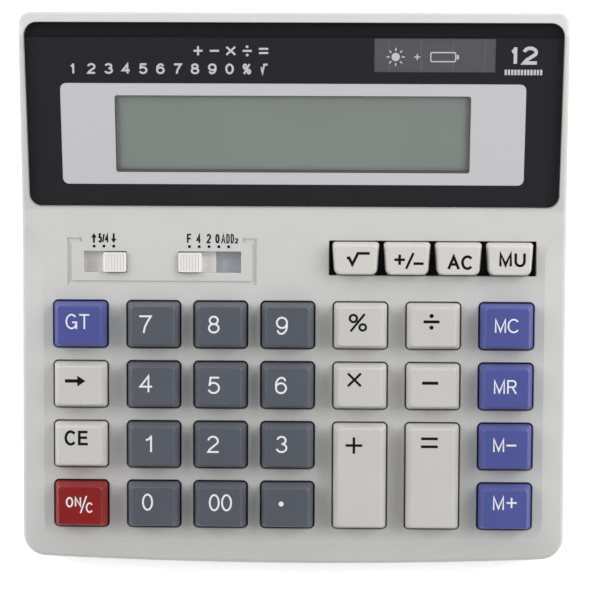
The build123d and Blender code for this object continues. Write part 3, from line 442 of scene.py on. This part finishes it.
# Colours, linear.
CASE_GREY = (0.50, 0.50, 0.49, 1)
KEY_GREY = (0.074, 0.082, 0.100, 1)
KEY_BLUE = (0.062, 0.074, 0.255, 1)
KEY_RED = (0.205, 0.008, 0.008, 1)
KEY_WHITE = (0.48, 0.475, 0.452, 1)
SMALL_KEY_WHITE = (0.53, 0.52, 0.49, 1)
KNOB_WHITE = (0.70, 0.695, 0.67, 1)
SHUTTER_GREY = (0.52, 0.545, 0.59, 1)
LCD_GREEN = (0.224, 0.254, 0.237, 1)
INK_WHITE = (0.68, 0.68, 0.71, 1)
INK_BLACK = (0.004, 0.004, 0.004, 1)
PANEL_BLACK = (0.020, 0.020, 0.0225, 1)
# Darker copy of the panel's black print for the bent back strip: painted shade standing in for the strip's
# dimmer reflection.
PANEL_BACK_SHADED_BLACK = (0.008, 0.008, 0.009, 1)
INK_SILVER = (0.525, 0.52, 0.535, 1)
SOLAR_DARK = (0.100, 0.098, 0.110, 1)
SOLAR_LIGHT = (0.108, 0.105, 0.118, 1)
SOLAR_LINE = (0.122, 0.119, 0.132, 1)
# Dark seal whose wall makes the dark line along the display window's edges: painted shade.
SEAL_SHADE_DARK = (0.085, 0.082, 0.090, 1)
FOOT_BLACK = (0.03, 0.03, 0.03, 1)
# The key mat is darker than a grey mat: painted shade, so the gaps round the keys read darker.
MAT_DARKENED_FOR_SHADE = (0.10, 0.10, 0.105, 1)
FRAME_WHITE = (0.7, 0.7, 0.68, 1)
FOIL = (0.7, 0.72, 0.68, 1)
CABLE_BROWN = (0.50, 0.28, 0.08, 1)
CABLE_LINE = (0.35, 0.17, 0.05, 1)
MASK_GREY = (0.50, 0.52, 0.55, 1)
MASK_TRACK = (0.56, 0.58, 0.60, 1)
RESIN_BLACK = (0.012, 0.012, 0.012, 1)
SLEEVE_BLUE = (0.02, 0.03, 0.10, 1)
SLEEVE_STRIPE = (0.4, 0.4, 0.42, 1)
RESISTOR_TAN = (0.60, 0.45, 0.26, 1)
RESISTOR_RING = (0.30, 0.08, 0.03, 1)
JACKET_BLACK = (0.05, 0.05, 0.055, 1)
JACKET_COPPER = (0.55, 0.28, 0.13, 1)
JACKET_MARKS = (0.2, 0.17, 0.15, 1)
NICKEL = (0.72, 0.70, 0.66, 1)
ZINC = (0.62, 0.62, 0.64, 1)
LEAD_RED = (0.40, 0.02, 0.02, 1)
FLOOR_DARK = (0.93, 0.93, 0.93, 1)
FLOOR_LIGHT = (0.95, 0.95, 0.95, 1)
WHITE = (1, 1, 1, 1)

FINISHES = {
    "case_grey": moulded("case_plastic", CASE_GREY, 0.48, grain=0.4, depth=0.010, spread=0.015),
    "key_grey": moulded("key_grey_plastic", KEY_GREY, 0.36),
    "key_blue": moulded("key_blue_plastic", KEY_BLUE, 0.36),
    "key_red": moulded("key_red_plastic", KEY_RED, 0.36),
    "key_white": moulded("key_white_plastic", KEY_WHITE, 0.40, spread=0.02),
    "small_key_white": moulded("small_key_plastic", SMALL_KEY_WHITE, 0.40, spread=0.02),
    "knob_white": moulded("knob_plastic", KNOB_WHITE, 0.35, spread=0.02),
    "shutter_grey": moulded("shutter_plastic", SHUTTER_GREY, 0.45, spread=0.03),
    "display_panel": clear_panel("clear_acrylic"),
    "lcd_glass": display_film("display_glass"),
    "lcd_reflector": metal("reflector_foil", FOIL, 0.5),
    "white_frame": moulded("white_plastic", FRAME_WHITE, 0.5),
    "flat_cable": banded("flat_cable", CABLE_BROWN, CABLE_LINE),
    "solar_cell": solar_film("solar_film"),
    "circuit_board": solder_mask("solder_mask"),
    "black_resin": moulded("resin_blob", RESIN_BLACK, 0.15, grain=2.0, depth=0.02),
    "component_sleeve": banded("capacitor_sleeve", SLEEVE_BLUE, SLEEVE_STRIPE),
    "component_body": banded("resistor_lacquer", RESISTOR_TAN, RESISTOR_RING),
    # The mat's dark colour is painted shade for the gaps round the keys.
    "key_mat_rubber": rubber("mat_rubber", MAT_DARKENED_FOR_SHADE),
    "cell_jacket": cell_jacket("cell_jacket"),
    "contact_metal": metal("nickel_plate", NICKEL, 0.28),
    "lead_sleeve": moulded("lead_sleeve", LEAD_RED, 0.4, grain=1.0),
    "screw_steel": metal("zinc_plate", ZINC, 0.32),
    "foot_rubber": rubber("foot_rubber", FOOT_BLACK),
    "seal_grey": rubber("seal_foam_painted_shade", SEAL_SHADE_DARK),
}
white_ink = printed("white_ink", INK_WHITE, 0.45)
black_ink = printed("black_ink", INK_BLACK, 0.55, gloss=0.12)
panel_black = printed("panel_black_ink", PANEL_BLACK, 0.5, gloss=0.0)
panel_back_shaded_ink = printed("panel_back_ink_painted_shade", PANEL_BACK_SHADED_BLACK, 0.5, gloss=0.0)
silver_ink = printed("silver_ink", INK_SILVER, 0.55, gloss=0.0)

SMALL_KEYS = ("key_root", "key_sign", "key_ac", "key_mu")
record_slots = {part["node"]: part["material_slot"] for part in frame["record"]["subparts"]}
for node, slot in record_slots.items():
    nodes[node].data.materials.clear()
    nodes[node].data.materials.append(FINISHES["small_key_white" if node in SMALL_KEYS else slot])


# ---------------------------------------------------------------- key legends
def key_faces(node):
    """The middle of a key's top face as x and v, and the face's height."""
    low, high = KEYPAD.extent(node)
    return (low.x + high.x) / 2, (low.y + high.y) / 2, high.z


def legend(node, outlines, finish):
    """Print on a key's top. The outlines are in millimetres from the middle of the key."""
    x, v, top = key_faces(node)
    moved = [[(p[0] + x, p[1] + v) for p in outline] for outline in outlines]
    piece = plate("legend_" + node[4:], KEYPAD, moved, top - INK_SUNK, INK_THICK, finish, node + "_cap")


def glyphs(*marks):
    """Glyphs one after another, each given by its name, its inked box and its line width."""
    return [quad for mark in marks for quad in glyph(*mark)]


WHITE_LEGENDS = {
    "key_7": glyphs(("7", -3.75, -2.05, -0.20, 2.90)),
    "key_4": glyphs(("4", -3.70, -1.70, -0.10, 3.20)),
    "key_1": glyphs(("1", -2.20, -1.60, -0.20, 3.10)),
    "key_0": glyphs(("0", -3.05, -1.25, 0.05, 3.60)),
    "key_8": glyphs(("8", -3.30, -2.05, -0.05, 2.90)),
    "key_5": glyphs(("5", -3.30, -2.05, 0.05, 2.80)),
    "key_2": glyphs(("2", -3.55, -1.70, -0.20, 3.15)),
    "key_9": glyphs(("9", -3.20, -2.30, 0.15, 2.75)),
    "key_6": glyphs(("6", -3.40, -1.95, -0.05, 2.90)),
    "key_3": glyphs(("3", -3.05, -1.60, 0.10, 3.25)),
    "key_00": glyphs(("0", -3.05, -1.25, 0.00, 3.60), ("0", 0.40, -1.25, 3.45, 3.60)),
    "key_point": [disc(-1.6, 0.95, 0.70)],
    "key_gt": glyphs(("G", -3.75, -1.10, -0.40, 3.20, THIN), ("T", 0.00, -1.05, 3.00, 3.15, THIN)),
    "key_mc": glyphs(("M", -3.50, -1.35, -0.40, 2.50, THIN), ("C", 0.00, -1.45, 3.35, 2.55, THIN)),
    "key_mr": glyphs(("M", -3.60, -1.45, -0.50, 2.40, THIN), ("R", 0.10, -1.45, 2.85, 2.40, THIN)),
    "key_m_minus": glyphs(("M", -3.60, -0.85, -0.50, 2.95, THIN), ("-", 0.00, 0.75, 2.95, 1.25, 0.50)),
    "key_m_plus": glyphs(("M", -3.45, -0.25, -0.35, 3.65, THIN), ("+", 0.25, 0.25, 3.25, 3.30, 0.48)),
    "key_on_c": glyphs(("O", -3.95, -0.50, -1.90, 2.45, 0.44), ("N", -1.45, -0.25, 0.35, 2.45, 0.44))
    + stroke([(0.15, -2.10), (1.85, 2.80)], 0.42) + glyphs(("C", 1.65, -2.00, 3.75, 0.95, 0.42)),
}
BLACK_LEGENDS = {
    "key_backspace": stroke([(-4.00, 1.33), (0.30, 1.33)], 0.95)
    + [[(-0.55, -0.20), (1.75, 1.33), (-0.55, 2.85)]],
    "key_ce": glyphs(("C", -4.25, 0.05, -0.85, 4.40, 0.74), ("E", -0.45, 0.15, 2.55, 4.30, 0.74)),
    "key_percent": glyphs(("%", -3.30, -1.30, 1.85, 3.70, 0.64)),
    "key_multiply": glyphs(("x", -3.65, 0.15, 0.45, 4.20, 0.66)),
    "key_plus": glyphs(("+", -4.05, 6.75, 0.80, 11.60, 0.70)),
    "key_divide": glyphs(("-", -3.05, 1.15, 1.75, 1.97, 0.82))
    + [disc(-0.65, 3.20, 0.58), disc(-0.65, -0.05, 0.58)],
    "key_minus": glyphs(("-", -3.30, 0.95, 1.55, 1.81, 0.86)),
    "key_equals": glyphs(("=", -3.40, 8.60, 1.55, 11.60, 0.76)),
    "key_root": glyphs(("root", -2.90, -1.90, 4.05, 1.95, 0.76)),
    "key_sign": glyphs(("+", -3.80, -1.80, -0.45, 1.50, 0.74))
    + stroke([(-0.30, -2.65), (1.70, 1.75)], 0.68) + glyphs(("-", 1.50, -1.58, 4.75, -0.84, 0.74)),
    "key_ac": glyphs(("A", -3.15, -2.85, 0.30, 1.15, 0.74), ("C", 0.65, -2.90, 4.05, 1.20, 0.74)),
    "key_mu": glyphs(("M", -3.10, -2.00, 0.45, 1.95, 0.72), ("U", 1.10, -2.05, 4.25, 1.95, 0.72)),
}
for legends, ink in ((WHITE_LEGENDS, white_ink), (BLACK_LEGENDS, black_ink)):
    for node, outlines in legends.items():
        legend(node, outlines, ink)


# ---------------------------------------------------------------- display panel
def underside(node, slope):
    """The triangles of a panel's underside: those flat on a slope, and the rest."""
    points, triangles = welded_faces(node)
    flat, bent = [], []
    for corners, normal in triangles:
        if normal.dot(slope.n) < -0.9999:
            flat.append(corners)
        elif normal.z < -0.7:
            bent.append(corners)
    return points, flat, bent


def ring_of(points, triangles, slope):
    """The outline of flat triangles on a slope."""
    edges = {(t[i], t[(i + 1) % 3]) for t in triangles for i in range(3)}
    onward = {a: b for a, b in edges if (b, a) not in edges}
    start = next(iter(onward))
    ring, here = [], start
    while True:
        ring.append(slope.local(points[here]))
        here = onward[here]
        if here == start:
            return [(p.x, p.y) for p in ring]


def skin(name, points, triangles, lift, thick, finish):
    """A thin closed sheet on triangles that face down, lifted off them."""
    used = sorted({i for t in triangles for i in t})
    place = {i: k for k, i in enumerate(used)}
    normals = {i: Vector() for i in used}
    for a, b, c in triangles:
        normal = (points[b] - points[a]).cross(points[c] - points[a])
        for i in (a, b, c):
            normals[i] -= normal
    heights = (lift, lift + thick)
    vertices = [points[i] + normals[i].normalized() * height * MM for height in heights for i in used]
    count = len(used)
    low = [tuple(place[i] for i in t) for t in triangles]
    high = [tuple(place[i] + count for i in reversed(t)) for t in triangles]
    edges = {(t[i], t[(i + 1) % 3]) for t in triangles for i in range(3)}
    rim = sorted((place[a], place[b]) for a, b in edges if (b, a) not in edges)
    walls = [(b, a, a + count, b + count) for a, b in rim]
    return new_piece(name, vertices, low + high + walls, finish)


def display_prints():
    """The panel's prints, on the back of the clear lens, and the films under it."""
    front = DISPLAY.extent("display_lens")[0].y
    points, flat, bent = underside("display_lens", DISPLAY)
    back = DISPLAY.local(points[flat[0][0]]).z
    edge = ring_of(points, flat, DISPLAY)

    def box(x0, v0, x1, v1, radius):
        return rounded(x0, front + v0, x1, front + v1, radius)

    silver = box(-64.5, 6.25, 64.0, 34.7, 1.7)
    window = box(-49.5, 9.65, 48.9, 31.3, 0.7)
    solar = box(22.1, 38.0, 55.4, 47.3, 0.15)
    level = back + LENS_GAP
    plate("panel_black_print", DISPLAY, [edge], level, INK_THICK, panel_black, holes=[silver, solar])
    # The bent strip's print is darker than the flat part's: painted shade standing in for its dimmer
    # reflection.
    skin("panel_back_print", points, bent, LENS_GAP, INK_THICK, panel_back_shaded_ink)
    frame_print = box(-64.7, 6.05, 64.2, 34.9, 1.9)
    behind = back - LENS_GAP
    plate("panel_silver_print", DISPLAY, [frame_print], behind, INK_THICK, silver_ink, holes=[window])
    header(front, level + INK_THICK)

    glass_top = DISPLAY.extent("lcd_glass")[1].z
    film = box(-50.1, 9.05, 49.5, 31.85, 0.3)
    film_thick = 1.3
    film_top = glass_top + film_thick
    plate("display_polariser", DISPLAY, [film], glass_top, film_thick, FINISHES["lcd_glass"])
    # The seal is dark so that its inner wall under the window's edge shows as a dark line: painted shade.
    opening = box(-49.2, 10.35, 48.55, 31.2, 0.5)
    seal_thick = back - 0.05 - film_top
    plate("display_seal", DISPLAY, [film], film_top, seal_thick, FINISHES["seal_grey"], holes=[opening])


def header(front, level):
    """Signs in the panel's upper band: sun and cell, sums signs, digits, and a 12 over twelve squares."""
    sun_x, sun_v, line = 28.0, front + 42.2, 0.36
    rays = []
    for step in range(8):
        angle = math.radians(45 * step)
        ray = [(sun_x + r * math.cos(angle), sun_v + r * math.sin(angle)) for r in (1.65, 2.5)]
        rays += stroke(ray, line)
    plus = glyph("+", 33.0, sun_v - 0.9, 34.8, sun_v + 0.9, line)
    case = rounded(37.6, sun_v - 1.25, 44.4, sun_v + 1.25, 0.4)
    cell = stroke(case + case[:1], line)
    tip = rounded(44.7, sun_v - 0.6, 45.3, sun_v + 0.6, 0.1)
    signs = rays + [disc(sun_x, sun_v, 1.15)] + plus + cell + [tip]
    plate("panel_power_signs", DISPLAY, signs, level, INK_THICK, silver_ink)

    bold, sign_width, middle = 0.55, 2.8, front + 43.75
    row = []
    for x, name, half in ((-27.6, "+", 1.4), (-23.1, "-", bold / 2), (-18.6, "x", 1.3), (-9.6, "=", 0.85)):
        row += glyph(name, x, middle - half, x + sign_width, middle + half, bold)
    row += glyph("-", -14.1, middle - bold / 2, -11.3, middle + bold / 2, bold)
    row += [disc(-12.7, middle + 1.15, 0.38), disc(-12.7, middle - 1.15, 0.38)]
    first_x, pitch = -61.6, 4.76
    for step, name in enumerate((*"1234567890%", "root")):
        x = first_x + pitch * step
        row += glyph(name, x, front + 37.25, x + (1.2 if name == "1" else 2.35), front + 40.25, bold)
    plate("panel_sum_signs", DISPLAY, row, level, INK_THICK, silver_ink)

    low, high, heavy = front + 40.2, front + 45.2, 0.95
    twelve = glyph("1", 59.3, low, 61.2, high, heavy) + glyph("2", 62.6, low, 66.9, high, heavy)
    lefts = [57.9 + 0.88 * i for i in range(12)]
    squares = [rounded(x, front + 37.3, x + 0.6, front + 38.8, 0.05) for x in lefts]
    plate("panel_capacity", DISPLAY, twelve + squares, level, INK_THICK, silver_ink)


display_prints()


# ---------------------------------------------------------------- switch scales
def switch_scales():
    """The scales behind the two switches: arrows, place counts and a dot for each stop."""
    low, high = KEYPAD.extent("round_knob")
    round_x, v = (low.x + high.x) / 2, (low.y + high.y) / 2
    low, high = KEYPAD.extent("decimal_knob")
    decimal_x = (low.x + high.x) / 2
    low, high = v + 5.35, v + 8.0
    dots_v, dot, pitch = v + 4.4, 0.42, 2.75
    level = deck_level() - INK_SUNK
    line, shaft, narrow = 0.45, 0.52, 0.34

    rounding = []
    for x, foot, tip in ((round_x - 5.9, low, high), (round_x - 0.35, high, low)):
        head = 1.2 if tip > foot else -1.2
        rounding += stroke([(x, foot), (x, tip - head * 0.8)], shaft)
        rounding.append([(x - 0.78, tip - head), (x + 0.78, tip - head), (x, tip)])
    for name, x0, x1 in (("5", -4.65, -3.65), ("/", -3.65, -2.85), ("4", -2.85, -1.70)):
        rounding += glyph(name, round_x + x0, low, round_x + x1, high, line)
    rounding += [disc(round_x - 0.35 - pitch * step, dots_v, dot) for step in range(3)]
    plate("rounding_scale", KEYPAD, rounding, level, INK_THICK, black_ink)

    places = []
    marks = (("F", -0.85, 0.55), ("4", 1.80, 3.10), ("2", 4.65, 5.95), ("0", 7.10, 8.30), ("A", 8.75, 9.95),
             ("D", 10.2, 11.15), ("D", 11.4, 12.35))
    for name, x0, x1 in marks:
        places += glyph(name, decimal_x + x0, low, decimal_x + x1, high, line if name in "F420" else narrow)
    places += glyph("2", decimal_x + 12.55, low, decimal_x + 13.55, low + 1.5, narrow)
    places += [disc(decimal_x - 0.15 + pitch * step, dots_v, dot) for step in range(5)]
    plate("places_scale", KEYPAD, places, level, INK_THICK, black_ink)


switch_scales()


# ---------------------------------------------------------------- stage
def stage():
    """A plain pale floor under the feet."""
    reach = 3.0
    made = Finish("floor", 0.9, Emission_Color=WHITE, Emission_Strength=0.36)
    made.colour(made.blend(made.noise(400.0), FLOOR_DARK, FLOOR_LIGHT))
    corners = [(-reach, -reach, 0), (reach, -reach, 0), (reach, reach, 0), (-reach, reach, 0)]
    new_piece("floor", corners, [(0, 1, 2, 3)], made.material, None)


def softbox(name, x, power):
    """A rectangular area light beside the object that faces it."""
    data = bpy.data.lights.new(name, "AREA")
    data.shape = "RECTANGLE"
    data.size = 0.5
    data.size_y = 0.4
    data.energy = power
    light = bpy.data.objects.new(name, data)
    bpy.context.scene.collection.objects.link(light)
    light.location = (x, 0.20, 0.38)
    way = Vector((0, 0, 0.02)) - Vector(light.location)
    light.rotation_euler = way.to_track_quat("-Z", "Y").to_euler()


def studio():
    """A white room, brightest in a ring above the horizon and dimmer in front, and two softboxes."""
    world = bpy.data.worlds.new("studio")
    world.use_nodes = True
    tree = world.node_tree
    way = tree.nodes.new("ShaderNodeTexCoord").outputs["Generated"]

    def share(direction, start, end, low, high):
        """A number that runs from low to high as the way's share of a direction runs from start to end."""
        along = tree.nodes.new("ShaderNodeVectorMath")
        along.operation = "DOT_PRODUCT"
        along.inputs[1].default_value = Vector(direction).normalized()
        tree.links.new(way, along.inputs[0])
        made = tree.nodes.new("ShaderNodeMapRange")
        made.interpolation_type = "SMOOTHSTEP"
        for socket, value in (("From Min", start), ("From Max", end), ("To Min", low), ("To Max", high)):
            made.inputs[socket].default_value = value
        tree.links.new(along.outputs["Value"], made.inputs["Value"])
        return made.outputs[0]

    def times(first, second):
        """The product of two numbers."""
        made = tree.nodes.new("ShaderNodeMath")
        made.operation = "MULTIPLY"
        tree.links.new(first, made.inputs[0])
        tree.links.new(second, made.inputs[1])
        return made.outputs[0]

    overhead = share((0, 0.1, 0.99), 0.40, 0.72, 3.1, 0.20)
    horizon = share((0, 0, 1), 0.1, 0.5, 0.15, 1.0)
    front = share((0, 1, 0), -0.9, 0.5, 0.42, 1.1)
    tree.links.new(times(times(overhead, horizon), front), tree.nodes["Background"].inputs["Strength"])
    tree.nodes["Background"].inputs["Color"].default_value = WHITE
    bpy.context.scene.world = world
    softbox("left_softbox", -0.52, 2.4)
    softbox("right_softbox", 0.52, 3.1)


def camera():
    """The camera, almost straight above the object."""
    data = bpy.data.cameras.new("camera")
    data.sensor_width = 36
    data.lens = 124.8
    data.clip_start = 0.01
    data.clip_end = 20
    view = bpy.data.objects.new("camera", data)
    bpy.context.scene.collection.objects.link(view)
    place = Matrix.Translation((0.01489, -0.0026, 0.6006))
    yaw = Matrix.Rotation(-0.0223, 4, "Y")
    roll = Matrix.Rotation(-0.0059, 4, "Z")
    view.matrix_world = place @ (roll @ yaw).inverted()
    bpy.context.scene.camera = view


stage()
studio()
camera()
bpy.context.scene.view_settings.view_transform = "Standard"
